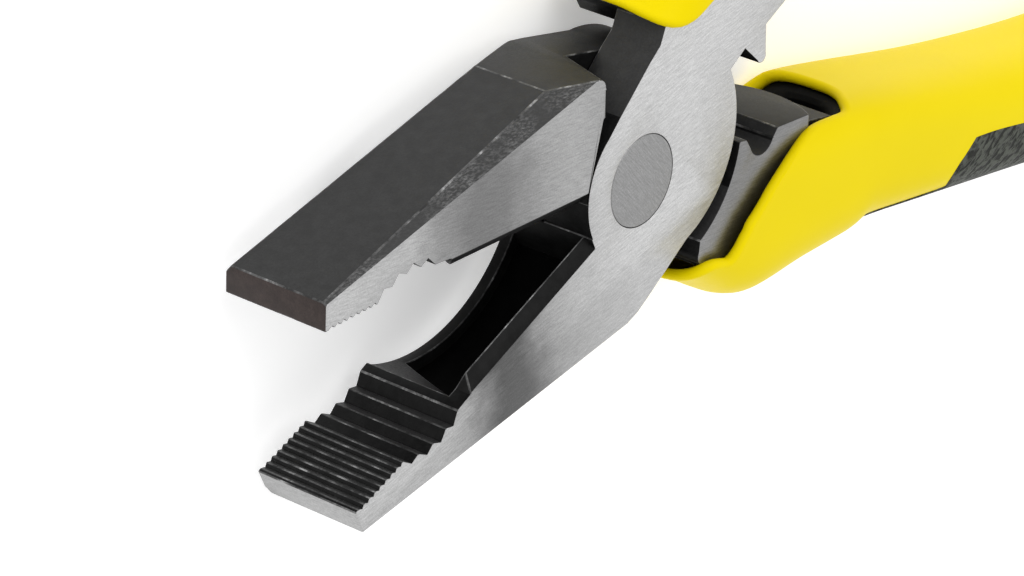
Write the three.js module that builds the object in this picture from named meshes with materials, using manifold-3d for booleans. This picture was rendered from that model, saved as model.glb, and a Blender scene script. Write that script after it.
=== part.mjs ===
// Lineman's pliers, 225 mm class, with a crimping station behind the joint and two-colour grips.
//
// Units are millimetres. The pliers lie on their back: +Z is the joint axis and the front face is up.
// The origin is on the joint axis, on the back face of the head. +X runs through the middle of the
// open jaws towards the tips, so at rest each half is turned half of the opening away from +X.
//
// One half is drawn flat in its own coordinates: s runs from the joint to the jaw tip, v runs from the
// line where the closed jaws meet to the back of the jaw, and w is the height above the middle plane.
// The half's joint plate is on the +w side. The back half is the same drawing turned over about s.

import * as THREE from 'three';
import { ParametricGeometry } from 'three/addons/geometries/ParametricGeometry.js';
import { mergeVertices } from 'three/addons/utils/BufferGeometryUtils.js';
import Module from 'manifold-3d';

const wasm = await Module();
wasm.setup();

// ---------- driving dimensions ----------

const headThickness = 13;
const halfThickness = headThickness / 2;
const jawOpening = 25.9; // degrees between the two jaws as the pliers are drawn
const clearance = 0.3; // between neighbouring pieces
const lapGap = 0.3; // between the two joint plates
const biteGap = 0.15; // from each jaw to the closing line

const tipS = 48.8; // joint axis to jaw tip
const tipHeight = 3.2; // height of one jaw at its tip
const kink = { s: 13.4, v: 13.5 }; // where the back of the jaw turns towards the joint
const shoulder = { s: 4.4, v: 13.45 };

const bossRadius = 8.75;
const cheek = { s: -3.8, v: -0.6, radius: 12.6 }; // round rear end of the joint plate
const rivet = { headRadius: 5.03, shankRadius: 4, headDepth: 1.6, coneDepth: 1 };

const knife = { from: 8.75, to: 29.1, foot: 30.4, w: 5.3, outerRise: 1.5 };
const scoop = { s: 19, radius: 17, depth: 7.3, end: 31.4 };
const pocket = { extraDepth: 1.3, wallFrom: 5.1, bevelRun: 4.4, bevelDrop: 8 };
// Slopes ground along the jaw's two outer edges: height of the edge at the tip, how fast it rises towards
// the joint, and how thick the jaw still is at the kink.
const faceSlope = { tipV: 3, rise: 0.262, ridgeW: 4.05 };
const rearSlope = { tipV: 2.4, rise: 0.27, ridgeW: 5.2 };

const fine = { from: 48.3, to: 41.2, count: 8, depth: 0.35, rise: 0.25 };
const coarse = { peaks: 5, pitch: 2.15, depth: 0.85, valleyAt: 0.45, sag: 1.15, endRise: 1.35 };

const landV = -1.4; // crimping lands
const tooth = { s: -21.1, height: 2.27, rootWidth: 3.9, tipWidth: 1.5, shoulder: 0.5 };
const nest = { s: -20.55, width: 5.4, depth: 2.3, bottomRadius: 2.05 };
const block = { end: -28.8, bulge: 2.1 }; // its rear face is rounded across the thickness
const neckTop = -3.3;

const tang = { start: -24.8, end: -164, halfWidth: 3.6, halfThickness: 3.8 };
const neck = { end: -46, halfThickness: 5.7 }; // thick front part of the tang
const grip = { halfThickness: 8.5, wall: 1.6, endS: -176.2, domeLength: 8 };
const roundness = 3; // power of the grip's section: 2 is an ellipse, larger is nearer a rectangle
const mouth = {
  corner: { s: -28, v: -3.7 }, // where the slanted rim meets the arch
  plateCorner: { s: -35.6, v: -4.6 }, // the same, on the face beside the joint plate
  nose: { s: -13.6, v: -12.5 }, // where the slanted rim meets the outer side
  reach: -8.8, // how far forward the outer side comes
  archRadius: 9.5,
  archDepth: 8, // how far down the inner side the arch is cut
};
const gripFront = -4; // the grip's form starts here, before its mouth is cut
const coreFront = -18;
const coreStart = -36; // front end of the dark core

const fullTurn = Math.PI * 2;
const through = 60; // longer than any piece is thick

// ---------- materials ----------

const steel = new THREE.MeshStandardMaterial({ color: 0x5b5b5e, roughness: 0.42, metalness: 0.9 });
const rivetSteel = new THREE.MeshStandardMaterial({ color: 0x9c9c9f, roughness: 0.35, metalness: 1 });
const darkRubber = new THREE.MeshStandardMaterial({ color: 0x3c3d38, roughness: 0.85, metalness: 0 });
const yellowPlastic = new THREE.MeshStandardMaterial({ color: 0xf2dc0e, roughness: 0.4, metalness: 0 });

// ---------- solids ----------

function solidOf(geometry) {
  const bare = geometry.index ? geometry.toNonIndexed() : geometry.clone();
  bare.deleteAttribute('normal');
  bare.deleteAttribute('uv');
  const merged = mergeVertices(bare, 1e-6);
  const vertProperties = new Float32Array(merged.attributes.position.array);
  const triVerts = [];
  for (let i = 0; i < merged.index.count; i += 3) {
    const corners = merged.index.array.slice(i, i + 3);
    if (new Set(corners).size === 3) triVerts.push(...corners);
  }
  const mesh = new wasm.Mesh({ numProp: 3, vertProperties, triVerts: new Uint32Array(triVerts) });
  return new wasm.Manifold(mesh);
}

function meshOf(name, solid, material) {
  const result = solid.getMesh();
  const geometry = new THREE.BufferGeometry();
  geometry.setAttribute('position', new THREE.BufferAttribute(result.vertProperties, 3));
  geometry.setIndex(new THREE.BufferAttribute(result.triVerts, 1));
  geometry.computeVertexNormals();
  const mesh = new THREE.Mesh(geometry, material);
  mesh.name = name;
  return mesh;
}

function point(s, v) {
  return new THREE.Vector2(s, v);
}

function arc(s, v, radius, fromDegrees, toDegrees, steps) {
  const points = [];
  for (let i = 0; i <= steps; i += 1) {
    const angle = THREE.MathUtils.degToRad(fromDegrees + ((toDegrees - fromDegrees) * i) / steps);
    points.push(point(s + radius * Math.cos(angle), v + radius * Math.sin(angle)));
  }
  return points;
}

// A flat outline in s and v, made solid from height w0 to height w1.
function slab(points, w0, w1) {
  const geometry = new THREE.ExtrudeGeometry(new THREE.Shape(points), {
    depth: w1 - w0,
    bevelEnabled: false,
  });
  geometry.translate(0, 0, w0);
  return solidOf(geometry);
}

// A block that runs right through the pliers' thickness.
function rectangle(s0, s1, v0, v1) {
  return slab([point(s0, v0), point(s1, v0), point(s1, v1), point(s0, v1)], -through, through);
}

// Everything on the side of a plane that its normal points to.
function halfSpace(onPlane, normal) {
  const size = 240;
  const geometry = new THREE.BoxGeometry(size, size, size);
  geometry.translate(0, 0, size / 2);
  const turn = new THREE.Quaternion().setFromUnitVectors(
    new THREE.Vector3(0, 0, 1),
    normal.clone().normalize(),
  );
  geometry.applyQuaternion(turn);
  geometry.translate(onPlane.x, onPlane.y, onPlane.z);
  return solidOf(geometry);
}

// ---------- one half, drawn flat ----------

function coarsePeak(i) {
  const along = i / (coarse.peaks - 1);
  const hollow = coarse.sag * Math.sin(Math.PI * along);
  return point(fine.to - i * coarse.pitch, biteGap + fine.rise + coarse.endRise * along + hollow);
}

// The gripping edge from the tip back to the cutter: fine ridges, then coarse teeth in a shallow hollow.
function grippingEdge() {
  const points = [];
  const finePitch = (fine.from - fine.to) / fine.count;
  for (let i = 0; i < fine.count; i += 1) {
    const s = fine.from - i * finePitch;
    const v = biteGap + (fine.rise * i) / fine.count;
    points.push(point(s, v));
    points.push(point(s - finePitch / 2, v + fine.depth));
  }
  for (let i = 0; i < coarse.peaks; i += 1) {
    const peak = coarsePeak(i);
    points.push(peak);
    if (i < coarse.peaks - 1) {
      const valley = peak.clone().lerp(coarsePeak(i + 1), coarse.valleyAt);
      points.push(point(valley.x, valley.y + coarse.depth));
    }
  }
  return points;
}

// Crimping land of the front half, with the tooth that presses the sleeve.
function toothEdge() {
  const root = tooth.rootWidth / 2;
  const tip = tooth.tipWidth / 2;
  return [
    point(tooth.s + root, landV),
    point(tooth.s + tip, tooth.height - tooth.shoulder),
    point(tooth.s + tip / 2, tooth.height),
    point(tooth.s - tip / 2, tooth.height),
    point(tooth.s - tip, tooth.height - tooth.shoulder),
    point(tooth.s - root, landV),
  ];
}

// Crimping land of the back half, with the round-bottomed nest that holds the sleeve.
function nestEdge() {
  const centreV = landV - nest.depth + nest.bottomRadius;
  const curve = arc(nest.s, centreV, nest.bottomRadius, -20, -160, 10);
  return [
    point(nest.s + nest.width / 2, landV + 0.2),
    ...curve,
    point(nest.s - nest.width / 2, landV),
  ];
}

function halfOutline(crimpEdge) {
  return [
    point(tipS, biteGap),
    point(tipS, tipHeight),
    point(kink.s, kink.v),
    point(shoulder.s, shoulder.v),
    ...arc(cheek.s, cheek.v, cheek.radius, 88, 181.5, 18),
    ...crimpEdge,
    point(block.end - block.bulge, landV - 0.4),
    point(block.end - block.bulge, -14.2),
    point(-14, -13.7),
    point(-9.6, -13.5),
    point(-8.1, -12.1),
    point(-6, -11.5),
    point(0, -9.35),
    ...arc(0, 0, bossRadius, -75, 0, 12),
    point(knife.from, biteGap),
    point(knife.to, biteGap),
    point(knife.foot, 1.6),
    ...grippingEdge().reverse(),
  ];
}

// Room for the other half's plate and boss through its whole travel, below this half's plate.
function lapRecess() {
  const recessRadius = cheek.radius + clearance;
  const left = cheek.s - recessRadius;
  const outline = [
    point(left, 16),
    ...arc(cheek.s, -cheek.v, recessRadius, 180, 238.5, 14),
    point(-10.4, -11.9),
    point(-9.4, -16),
    point(9.4, -12),
    point(bossRadius + clearance, 0),
    ...arc(0, 0, bossRadius + clearance, 4, 38, 6),
    point(6.9, 9),
    point(6.65, 12),
    point(6.65, 16),
  ];
  return slab(outline, -through, lapGap / 2);
}

// Ground slope along an outer edge of the jaw. It fades out at the tip and at the shoulder.
function edgeSlope(side, slope) {
  const onEdge = new THREE.Vector3(tipS, slope.tipV, side * halfThickness);
  const alongEdge = new THREE.Vector3(-1, slope.rise, 0);
  const ridge = new THREE.Vector3(kink.s, kink.v, side * slope.ridgeW);
  const normal = new THREE.Vector3().crossVectors(alongEdge, ridge.clone().sub(onEdge));
  if (normal.y < 0) normal.negate();
  return halfSpace(onEdge, normal).intersect(rectangle(2, 60, 0, 20));
}

// The cutter: a blade near the front face, sloped on both sides, with the jaw hollowed out behind it.
// frontSide is +1 where the front face of the pliers is at +w, and -1 where it is at -w.
function cutter(frontSide) {
  const bladeEdge = new THREE.Vector3(0, biteGap, frontSide * knife.w);
  const outerRun = halfThickness - knife.w;
  const outerNormal = new THREE.Vector3(0, -outerRun, frontSide * (knife.outerRise - biteGap));
  const jawStart = bossRadius + clearance;
  const bladeLength = rectangle(jawStart, knife.foot, -4, 2);
  const outerSlope = halfSpace(bladeEdge, outerNormal).intersect(bladeLength);

  const innerNormal = new THREE.Vector3(0, -pocket.bevelRun, -frontSide * pocket.bevelDrop);
  const behindBlade = halfSpace(bladeEdge, innerNormal);
  const hollow = arc(scoop.s, scoop.depth - scoop.radius, scoop.radius, 0, 180, 40);
  const shallow = slab(hollow, -through, through);
  const deeper = arc(scoop.s, scoop.depth - scoop.radius, scoop.radius + pocket.extraDepth, 0, 180, 40);
  const innerW = [-frontSide * pocket.wallFrom, frontSide * through].sort((a, b) => a - b);
  const deep = slab(deeper, innerW[0], innerW[1]);
  const jawSide = rectangle(jawStart, scoop.end, -4, 12);
  return outerSlope.add(shallow.add(deep).intersect(behindBlade).intersect(jawSide));
}

// The steel tongue inside the grip, or the room for it when a margin is given.
function tangSolid(margin) {
  const plan = gripPlan();
  const steps = 24;
  const length = tang.end - margin - tang.start;
  const near = [];
  const far = [];
  for (let i = 0; i <= steps; i += 1) {
    const s = tang.start + (length * i) / steps;
    near.push(point(s, plan.middle(s) + tang.halfWidth + margin));
    far.push(point(s, plan.middle(s) - tang.halfWidth - margin));
  }
  const bladeHeight = tang.halfThickness + margin;
  const neckHeight = neck.halfThickness + margin;
  const neckOutline = [
    point(-24 + margin, neckTop + margin),
    point(-24 + margin, -15 - margin),
    point(neck.end - margin, -13.8 - margin),
    point(neck.end - margin, -8.5 + margin),
    point(-35.4, -6.6 + margin),
    point(-34, neckTop + margin),
  ];
  const blade = slab([...near, ...far.reverse()], -bladeHeight, bladeHeight);
  return blade.add(slab(neckOutline, -neckHeight, neckHeight));
}

// What is left off the block's rear end to round it across the thickness.
function blockRounding() {
  const half = halfThickness;
  const radius = (half * half + block.bulge * block.bulge) / (2 * block.bulge);
  const round = new THREE.CylinderGeometry(radius, radius, through, 96);
  round.translate(block.end - block.bulge + radius, 0, 0);
  return rectangle(block.end - block.bulge - 1, block.end + 1, -20, 5).subtract(solidOf(round));
}

function rivetBore() {
  return rivetSolid(rivet.headRadius + clearance, rivet.shankRadius + clearance, halfThickness + 1);
}

function rivetSolid(headRadius, shankRadius, halfLength) {
  const coneStart = halfThickness - rivet.headDepth;
  const coneEnd = coneStart - rivet.coneDepth;
  const profile = [
    point(0, -halfLength),
    point(headRadius, -halfLength),
    point(headRadius, -coneStart),
    point(shankRadius, -coneEnd),
    point(shankRadius, coneEnd),
    point(headRadius, coneStart),
    point(headRadius, halfLength),
    point(0, halfLength),
  ];
  const geometry = new THREE.LatheGeometry(profile, 40, 0, fullTurn);
  geometry.rotateX(Math.PI / 2);
  return solidOf(geometry);
}

function halfSolid(crimpEdge, frontSide) {
  const body = slab(halfOutline(crimpEdge), -halfThickness, halfThickness);
  return body
    .subtract(lapRecess())
    .subtract(blockRounding())
    .add(tangSolid(0))
    .subtract(cutter(frontSide))
    .subtract(edgeSlope(frontSide, faceSlope))
    .subtract(edgeSlope(-frontSide, rearSlope))
    .subtract(rivetBore());
}

// ---------- one grip, drawn flat ----------

function innerEdge() {
  return new THREE.SplineCurve([
    point(0, -1.2),
    point(-27.5, -1.9),
    point(-41, -3.2),
    point(-71, -8.4),
    point(-92, -10.9),
    point(-118, -12),
    point(-145, -11.2),
    point(-178, -8.6),
  ]);
}

function outerEdge() {
  return new THREE.SplineCurve([
    point(0, -12.6),
    point(-9.8, -15.8),
    point(-14.1, -18),
    point(-17.6, -19.8),
    point(-21.5, -20.9),
    point(-29, -20.3),
    point(-40.5, -18.6),
    point(-50, -19.4),
    point(-72, -22.6),
    point(-92, -25),
    point(-116, -26.3),
    point(-142, -25.8),
    point(-178, -23.6),
  ]);
}

// Height v of an edge at any distance s, read off closely spaced points along its curve.
function heightAlong(curve) {
  const points = curve.getPoints(120);
  return (s) => {
    const next = points.findIndex((p) => p.x <= s);
    const before = points[next - 1];
    const after = points[next];
    return THREE.MathUtils.mapLinear(s, before.x, after.x, before.y, after.y);
  };
}

// Middle and half width of the grip at a distance s behind the joint.
function gripPlan() {
  const innerV = heightAlong(innerEdge());
  const outerV = heightAlong(outerEdge());
  return {
    middle: (s) => (innerV(s) + outerV(s)) / 2,
    halfWidth: (s) => (innerV(s) - outerV(s)) / 2,
  };
}

// Point on a rounded square that reaches from -1 to 1 both ways.
function onRoundedSquare(angle) {
  const soften = (x) => Math.sign(x) * Math.abs(x) ** (2 / roundness);
  return point(soften(Math.cos(angle)), soften(Math.sin(angle)));
}

// The grip's outer form, or the same form drawn in by an inset: rounded sections from a flat front
// end at frontS to the domed rear end.
function gripForm(inset, frontS) {
  const plan = gripPlan();
  const domeStart = grip.endS + grip.domeLength;
  const lengthwise = 24;
  const domeSteps = 6;
  const stations = [{ s: frontS, scale: 0 }];
  for (let i = 0; i < lengthwise; i += 1) {
    stations.push({ s: frontS + ((domeStart - frontS) * i) / lengthwise, scale: 1 });
  }
  for (let i = 0; i <= domeSteps; i += 1) {
    const onDome = onRoundedSquare(((Math.PI / 2) * i) / domeSteps);
    stations.push({ s: domeStart - (grip.domeLength - inset) * onDome.y, scale: onDome.x });
  }
  const place = (u, v, target) => {
    const station = stations[Math.round(v * (stations.length - 1))];
    const around = onRoundedSquare(-fullTurn * u);
    const halfWidth = (plan.halfWidth(station.s) - inset) * station.scale;
    const halfHeight = (grip.halfThickness - inset) * station.scale;
    target.set(station.s, plan.middle(station.s) + halfWidth * around.x, halfHeight * around.y);
  };
  return solidOf(new ParametricGeometry(place, 28, stations.length - 1));
}

// What is cut off the grip in front of its slanted mouth, and the arch in its inner side.
function mouthCut() {
  const slantFrom = (corner, low, high) => {
    const outline = [
      point(10, 10),
      point(corner.s, 10),
      point(corner.s, corner.v),
      point(mouth.nose.s, mouth.nose.v),
      point(-10.5, -13.4),
      point(mouth.reach, -14.3),
      point(mouth.reach, -30),
      point(10, -30),
    ];
    return slab(outline, low, high);
  };
  const slant = slantFrom(mouth.corner, -through, through).add(slantFrom(mouth.plateCorner, 0, through));
  const archShape = new THREE.Shape();
  archShape.absarc(mouth.corner.s, 0, mouth.archRadius, 0, fullTurn, false);
  const archGeometry = new THREE.ExtrudeGeometry(archShape, {
    depth: 2 * mouth.archDepth,
    bevelEnabled: false,
    curveSegments: 24,
  });
  archGeometry.rotateX(Math.PI / 2);
  archGeometry.translate(0, mouth.archDepth, 0);
  const aboveMetal = slab(
    [point(-45, 10), point(-45, -mouth.archDepth), point(-20, -mouth.archDepth), point(-20, 10)],
    -(halfThickness + clearance),
    halfThickness + clearance,
  );
  return slant.add(solidOf(archGeometry).intersect(aboveMetal));
}

// Window in the outer side and in both faces, where the dark core comes to the surface.
function window(margin) {
  const onFaces = [
    point(-56 + margin, -32),
    point(-58.7 + margin, -13.2 + margin),
    point(-72, -15.2 + margin),
    point(-92, -18.1 + margin),
    point(-118, -19.6 + margin),
    point(-140, -19 + margin),
    point(-151 - margin, -21 + margin),
    point(-155 - margin, -32),
  ];
  const onOuterSide = [
    point(-40 + margin, -32),
    point(-41.5 + margin, -16.4 + margin),
    point(-62, -16.4 + margin),
    point(-62, -32),
  ];
  const sideHeight = 4.6 + margin;
  return slab(onFaces, -through, through).add(slab(onOuterSide, -sideHeight, sideHeight));
}

function cavity(inset) {
  const head = slab(
    [point(-4, 2), point(-31.3, 2), point(-31.3, -15.9), point(-14, -14.1), point(-4, -13.7)],
    -(halfThickness + clearance),
    halfThickness + clearance,
  );
  return gripForm(inset, coreFront).add(head);
}

function shellSolid() {
  return gripForm(0, gripFront)
    .subtract(cavity(grip.wall))
    .subtract(mouthCut())
    .subtract(window(clearance));
}

function coreSolid() {
  const behindMouth = rectangle(grip.endS, coreStart, -40, 10);
  const inner = gripForm(grip.wall + clearance, coreFront).intersect(behindMouth);
  const panel = gripForm(0, coreFront).intersect(window(0));
  return inner.add(panel).subtract(tangSolid(clearance));
}

// ---------- assembly ----------

const opening = THREE.MathUtils.degToRad(jawOpening / 2);

const frontSteel = halfSolid(toothEdge(), 1);
const backSteel = halfSolid(nestEdge(), -1);
const shell = shellSolid();
const core = coreSolid();

const frontHalf = new THREE.Group();
frontHalf.rotation.z = opening;
frontHalf.add(meshOf('front_half', frontSteel, steel));
frontHalf.add(meshOf('front_grip_core', core, darkRubber));
frontHalf.add(meshOf('front_grip_shell', shell, yellowPlastic));

const backHalf = new THREE.Group();
backHalf.rotation.set(Math.PI, 0, opening);
backHalf.add(meshOf('back_half', backSteel, steel));
backHalf.add(meshOf('back_grip_core', core, darkRubber));
backHalf.add(meshOf('back_grip_shell', shell, yellowPlastic));
backHalf.add(
  meshOf('pivot_rivet', rivetSolid(rivet.headRadius, rivet.shankRadius, halfThickness), rivetSteel),
);

const pliers = new THREE.Group();
pliers.position.z = halfThickness;
pliers.add(frontHalf, backHalf);

export default pliers;
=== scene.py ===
# Lineman pliers: the looks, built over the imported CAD. Everything is drawn in millimetres in one half's own
# coordinates: s runs forward along the jaw from the joint, v away from the closing line to the jaw's back,
# and w up from the middle plane. Both halves share one drawing, and the back half is that drawing turned
# over about s. The finished pieces are then turned into the part's own frame, in metres.

import math

import bmesh
import bpy
from mathutils import Matrix, Vector


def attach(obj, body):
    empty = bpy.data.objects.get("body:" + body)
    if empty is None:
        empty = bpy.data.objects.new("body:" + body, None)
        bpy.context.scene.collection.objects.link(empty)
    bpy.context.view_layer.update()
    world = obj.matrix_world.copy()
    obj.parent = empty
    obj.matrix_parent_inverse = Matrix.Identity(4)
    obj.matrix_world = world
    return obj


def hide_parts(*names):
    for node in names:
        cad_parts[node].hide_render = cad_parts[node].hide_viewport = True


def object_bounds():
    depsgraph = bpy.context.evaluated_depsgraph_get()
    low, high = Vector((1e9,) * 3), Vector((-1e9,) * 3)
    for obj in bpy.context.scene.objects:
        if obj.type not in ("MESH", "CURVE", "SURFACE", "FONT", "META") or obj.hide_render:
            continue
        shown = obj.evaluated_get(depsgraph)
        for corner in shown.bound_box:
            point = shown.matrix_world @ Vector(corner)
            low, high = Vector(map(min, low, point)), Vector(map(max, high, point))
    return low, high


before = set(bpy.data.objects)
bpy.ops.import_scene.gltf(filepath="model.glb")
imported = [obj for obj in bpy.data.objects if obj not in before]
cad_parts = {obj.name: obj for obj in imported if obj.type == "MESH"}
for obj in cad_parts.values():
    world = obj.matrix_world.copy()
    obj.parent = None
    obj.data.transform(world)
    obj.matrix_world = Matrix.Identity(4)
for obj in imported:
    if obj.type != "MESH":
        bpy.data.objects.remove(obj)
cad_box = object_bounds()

MM = 0.001

# ---------- driving dimensions, in millimetres and degrees ----------

JAW_OPENING = 25.9
HALF_THICKNESS = 6.5
BITE_GAP = 0.1  # from each half's gripping face to the closing line
LAP_GAP = 0.12  # between the two plates of the joint
THROUGH = 20.0  # further than any piece reaches from the middle plane

# The steel half's outline. The kink is where the jaw's slanting back meets the level shoulder. The cheek is
# the plate's round side behind the shoulder, and the boss its round side where the cutter starts.
TIP_S = 48.8
TIP_HEIGHT = 3.2
KINK = (13.4, 13.5)
SHOULDER_TOP = (6.4, 13.75)
SHOULDER_END = (4.4, 13.45)
BOSS_RADIUS = 8.75
BOSS_FROM = -75
CHEEK_S, CHEEK_V, CHEEK_RADIUS = -3.8, -0.6, 12.6
CHEEK_FROM, CHEEK_TO = 88, 181.5
# The block's far side, from its rear end forward to the boss.
OUTER_SIDE_START = -14.2
OUTER_SIDE = [(-14, -13.75), (-9.7, -13.6), (-8.1, -12.1), (-6, -11.5), (0, -9.35)]

RIVET_RADIUS = 5.03
RIVET_GAP = 0.035
# The rivet's soft edge, as (how far in from its side, how far below its face).
RIVET_EDGE = [(0.2, 0), (0.06, 0.02), (0, 0.08)]
RIVET_POINTS = 96

# The recess for the other half's plate. Its wall at the shoulder leans back towards the plate, and the third
# number of each point on that wall is the share of the lean that the point takes.
RECESS_CLEARANCE = 0.3
BOSS_CLEARANCE = 0.13
RECESS_CORNER = 1.2  # radius of the recess's two rounded corners
REAR_CORNER = (-11.5, -12.3)
RECESS_FAR_SIDE = [(-10.9, -16), (9.4, -12)]
SHOULDER_WALL = [(6.87, 9, 0.1), (6.85, 12.2, 0.8)]
SHOULDER_CORNER = (8.05, 12.4)
SHOULDER_WALL_END = 7.5
RECESS_TOP = 16
SHOULDER_LEAN = 2.4

# Slopes ground along the jaw's two outer edges: v of the slope's line on the face at the tip, how fast that
# line climbs towards the joint, and w of the slope's other edge at the kink.
FACE_SLOPE = (3, 0.262, 4.05)
REAR_SLOPE = (2.4, 0.27, 5.2)
SLOPES_FROM = 2

# The cutter: a slope on the blade's outer side, a round hollow behind it and a deeper pocket in the hollow.
KNIFE_FROM, KNIFE_TO = 8.75, 29.1
KNIFE_FOOT, KNIFE_FOOT_V = 30.4, 1.6
KNIFE_W = 5.3
KNIFE_RISE = 1.5
SCOOP_S, SCOOP_RADIUS, SCOOP_DEPTH, SCOOP_END = 19.0, 17.0, 7.3, 31.4
POCKET_EXTRA = 1.4
POCKET_WALL = 5.1
POCKET_FRONT = ((28.2, -4.3), (30.5, 2.3))
POCKET_RUN, POCKET_DROP = 4.4, 8.0

FINE_FROM, FINE_TO, FINE_COUNT = 48.3, 41.2, 8
FINE_DEPTH, FINE_RISE, FINE_VALLEY_AT = 0.38, 0.25, 0.55
COARSE_PEAKS, COARSE_PITCH, COARSE_DEPTH = 5, 2.15, 0.85
COARSE_VALLEY_AT, COARSE_SAG, COARSE_RISE = 0.45, 1.15, 1.35

# Behind the joint: the crimping tooth of one half, the nest of the other, and what goes into the grip.
LAND_V, LAND_STEP = -1.4, 0.4
TOOTH_S, TOOTH_HEIGHT, TOOTH_ROOT, TOOTH_TIP = -21.1, 2.27, 3.9, 1.5
NEST_S, NEST_WIDTH, NEST_DEPTH, NEST_LIP = -20.55, 5.4, 2.3, 0.2
NEST_RADIUS = 0.38 * NEST_WIDTH
BLOCK_END, BLOCK_BULGE = -28.8, 2.1
NECK_OUTLINE = [(-24, -3), (-24, -14), (-46, -13.8), (-46, -8.5), (-35.6, -6.6), (-34, -3.7), (-30, -3)]
NECK_HALF_THICKNESS = 5.7
TANG_START, TANG_END = -24.8, -60.0
TANG_HALF_WIDTH, TANG_HALF_THICKNESS = 3.6, 3.8

EDGE_BREAK = 0.13
SHARP_EDGE = 14  # edges that turn more than this, in degrees, are broken
FLAT_EDGE = 0.6  # and edges that turn less than this are taken out
WELD = 0.004

GRIP_HALF_THICKNESS = 8.5
# Power of the grip's section: 2 is an ellipse and larger is nearer a rectangle. The inner side is boxier
# at the mouth than along the handle.
MOUTH_POWER, HANDLE_POWER = 4.5, 3.0
POWER_FROM, POWER_TO = -30.0, -65.0
GRIP_END = -176.2
GRIP_DOME = 8.0
GRIP_WALL = 1.2
RIM_BLEND_END = -54.0  # behind this the grip's rows of points run square to it
LINER_THICKNESS = 2.6
LINER_GAP = 0.05
LINER_SETBACK = 0.15
LINER_FRONT = -32.0
AROUND = 128  # points round the grip

# The grip's inner and outer edges, seen from the front: points (s, v) that a smooth curve runs through.
INNER_EDGE = [
    (0, -1.2), (-27.5, -1.9), (-41, -3.2), (-71, -8.4), (-92, -10.9), (-118, -12), (-145, -11.2),
    (-178, -8.6),
]
OUTER_EDGE = [
    (0, -12.6), (-9.8, -15.8), (-14.1, -18.1), (-17.6, -20.1), (-21.5, -20.9), (-29, -20.2), (-37.3, -19.7),
    (-39.8, -18.9), (-42, -18.85), (-50, -19.8), (-72, -22.4), (-92, -25), (-116, -26.3), (-142, -25.8),
    (-178, -23.6),
]
# The rim of the grip's mouth, as (angle round the grip, how far forward). The angle is 0 in the middle of
# the inner side, 90 in the middle of a face and 180 in the middle of the outer side. On the face beside the
# joint plate the rim runs further back than on the face beside the crimping block.
PLATE_SIDE_RIM = [
    (0, -39.4), (24, -39), (44, -38.5), (55, -37.6), (66, -35.8), (76.4, -33), (84.1, -29.8), (88, -26.6),
    (89.8, -23), (91.3, -19.8), (96.5, -17.2), (102, -15.3), (107, -13.4), (112, -12.2), (118, -11.3),
    (126, -10.5), (141, -9.8), (160, -9.5), (180, -9.6),
]
BLOCK_SIDE_RIM = [
    (0, -39.4), (8, -38.7), (24, -37.2), (37, -36.2), (43, -35), (43.5, -33), (43.5, -30.6), (45.5, -28.9),
    (51.5, -27.3), (62.8, -25), (73.5, -22.8), (81.8, -20.8), (86, -19.7), (88.3, -18.8), (89.5, -18),
    (90, -17.2), (91, -16.7), (94, -16.1), (102, -15.2), (109, -14.6), (113, -14), (115.5, -12.9),
    (119, -11.8), (126, -11), (135, -10.4), (147, -10), (160, -9.8), (180, -9.6),
]
# The textured panel: its upper edge on the faces as (s, v), the slanting front edge with how fast it runs
# forward down the face and back round the turn, and the strip that goes further forward on the outer side.
PANEL_EDGE = [
    (-40, -12.6), (-58.7, -13.3), (-72, -15.2), (-92, -18.2), (-118, -19.7), (-140, -19.2), (-157, -21.5),
]
PANEL_CORNER, PANEL_SLANT = (-58.6, -13.2), 1.05
PANEL_TURN_W, PANEL_TURN_SLANT = 8.4, 2.0
PANEL_STRIP_FRONT, PANEL_STRIP_W, PANEL_STRIP_BLEND = -39.5, 6.4, 0.5
PANEL_REAR = -153.5
PANEL_PROUD, PANEL_SUNK = 0.16, 0.6

# ---------- looks, light and camera ----------

# How light the bright steel is at each x in millimetres, for the jaws' two ground faces: partly the steel's
# own tone and partly painted reflection. The dark band in the middle is a painted reflection of dark
# surroundings.
PLATE_TONES_AND_REFLECTION = [
    (-30, 0.60), (2, 0.58), (10, 0.48), (16.5, 0.37), (19, 0.21), (21, 0.12), (25, 0.11), (27.5, 0.22),
    (30, 0.39), (34, 0.49), (48, 0.52),
]
BLOCK_TONES_AND_REFLECTION = [
    (-30, 0.25), (-14, 0.23), (1, 0.35), (10, 0.41), (15, 0.35), (20, 0.21), (25, 0.20), (30, 0.30),
    (35, 0.46), (48, 0.55),
]
TONES_REACH = 50.0
TONES_WANDER = 6.0
SCRAPE_TURN = 15  # how far the strokes on a slope turn from the jaw's own direction, in degrees

FLOOR_GLOW = 0.3
FLOOR_REACH = 3.0
KEY_PLACE, KEY_POWER = (-0.05, -0.9, 0.65), 3.0
FILL_PLACE, FILL_POWER = (-0.7, 0.5, 0.9), 0.5
SOFTBOX_SIZE = 0.9

CAMERA_LENS, CAMERA_SENSOR = 176.2, 36.0
CAMERA_PLACE = (0.31545, -0.29020, 0.29618)
CAMERA_RIGHT = (-0.62975, 0.11160, 0.76874)
CAMERA_UP = (-0.50860, -0.80726, -0.29945)

# ---------- small tools ----------


def arc(s, v, radius, start, end, steps):
    """Points on an arc round (s, v), between two angles in degrees."""
    points = []
    for i in range(steps + 1):
        angle = math.radians(start + (end - start) * i / steps)
        points.append((s + radius * math.cos(angle), v + radius * math.sin(angle)))
    return points


def mix(a, b, t):
    """The value a share t of the way from a to b."""
    return a + (b - a) * t


def ease(t):
    """Turns an even run from 0 to 1 into one that starts and ends gently."""
    t = min(max(t, 0.0), 1.0)
    return t * t * (3 - 2 * t)


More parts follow.
